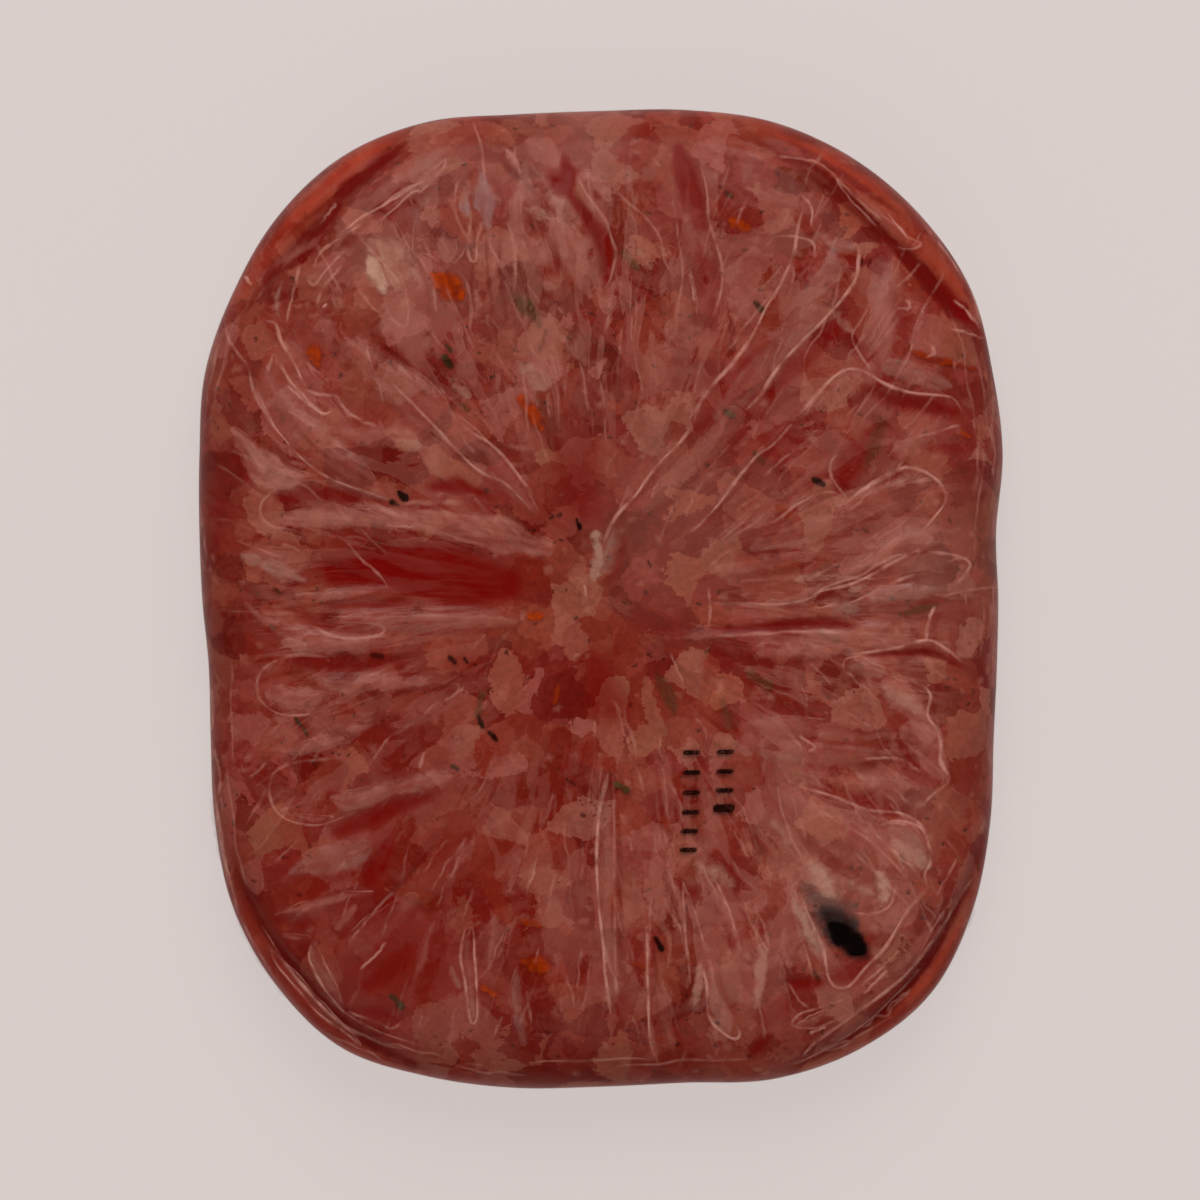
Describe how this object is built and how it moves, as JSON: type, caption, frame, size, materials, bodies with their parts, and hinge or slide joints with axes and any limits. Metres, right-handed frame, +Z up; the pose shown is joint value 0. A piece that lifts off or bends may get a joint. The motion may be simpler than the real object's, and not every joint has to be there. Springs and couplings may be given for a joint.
{
  "type": "raw dog food pack",
  "caption": "Flat slab of minced raw meat and vegetables sealed in clear shrunk film, with radial gathers on top and tucked corners.",
  "frame": {"origin": "centre of the flat underside, on the surface the pack lies on", "axes": "+Z up through the gathered face; +Y along the pack's length, towards its far end"},
  "size_m": [0.141, 0.1718, 0.025],
  "materials": {
    "film_over_mince": "clear shrunk film over wet red mince"
  },
  "bodies": {
    "root": {"pack": "film_over_mince"}
  },
  "joints": []
}
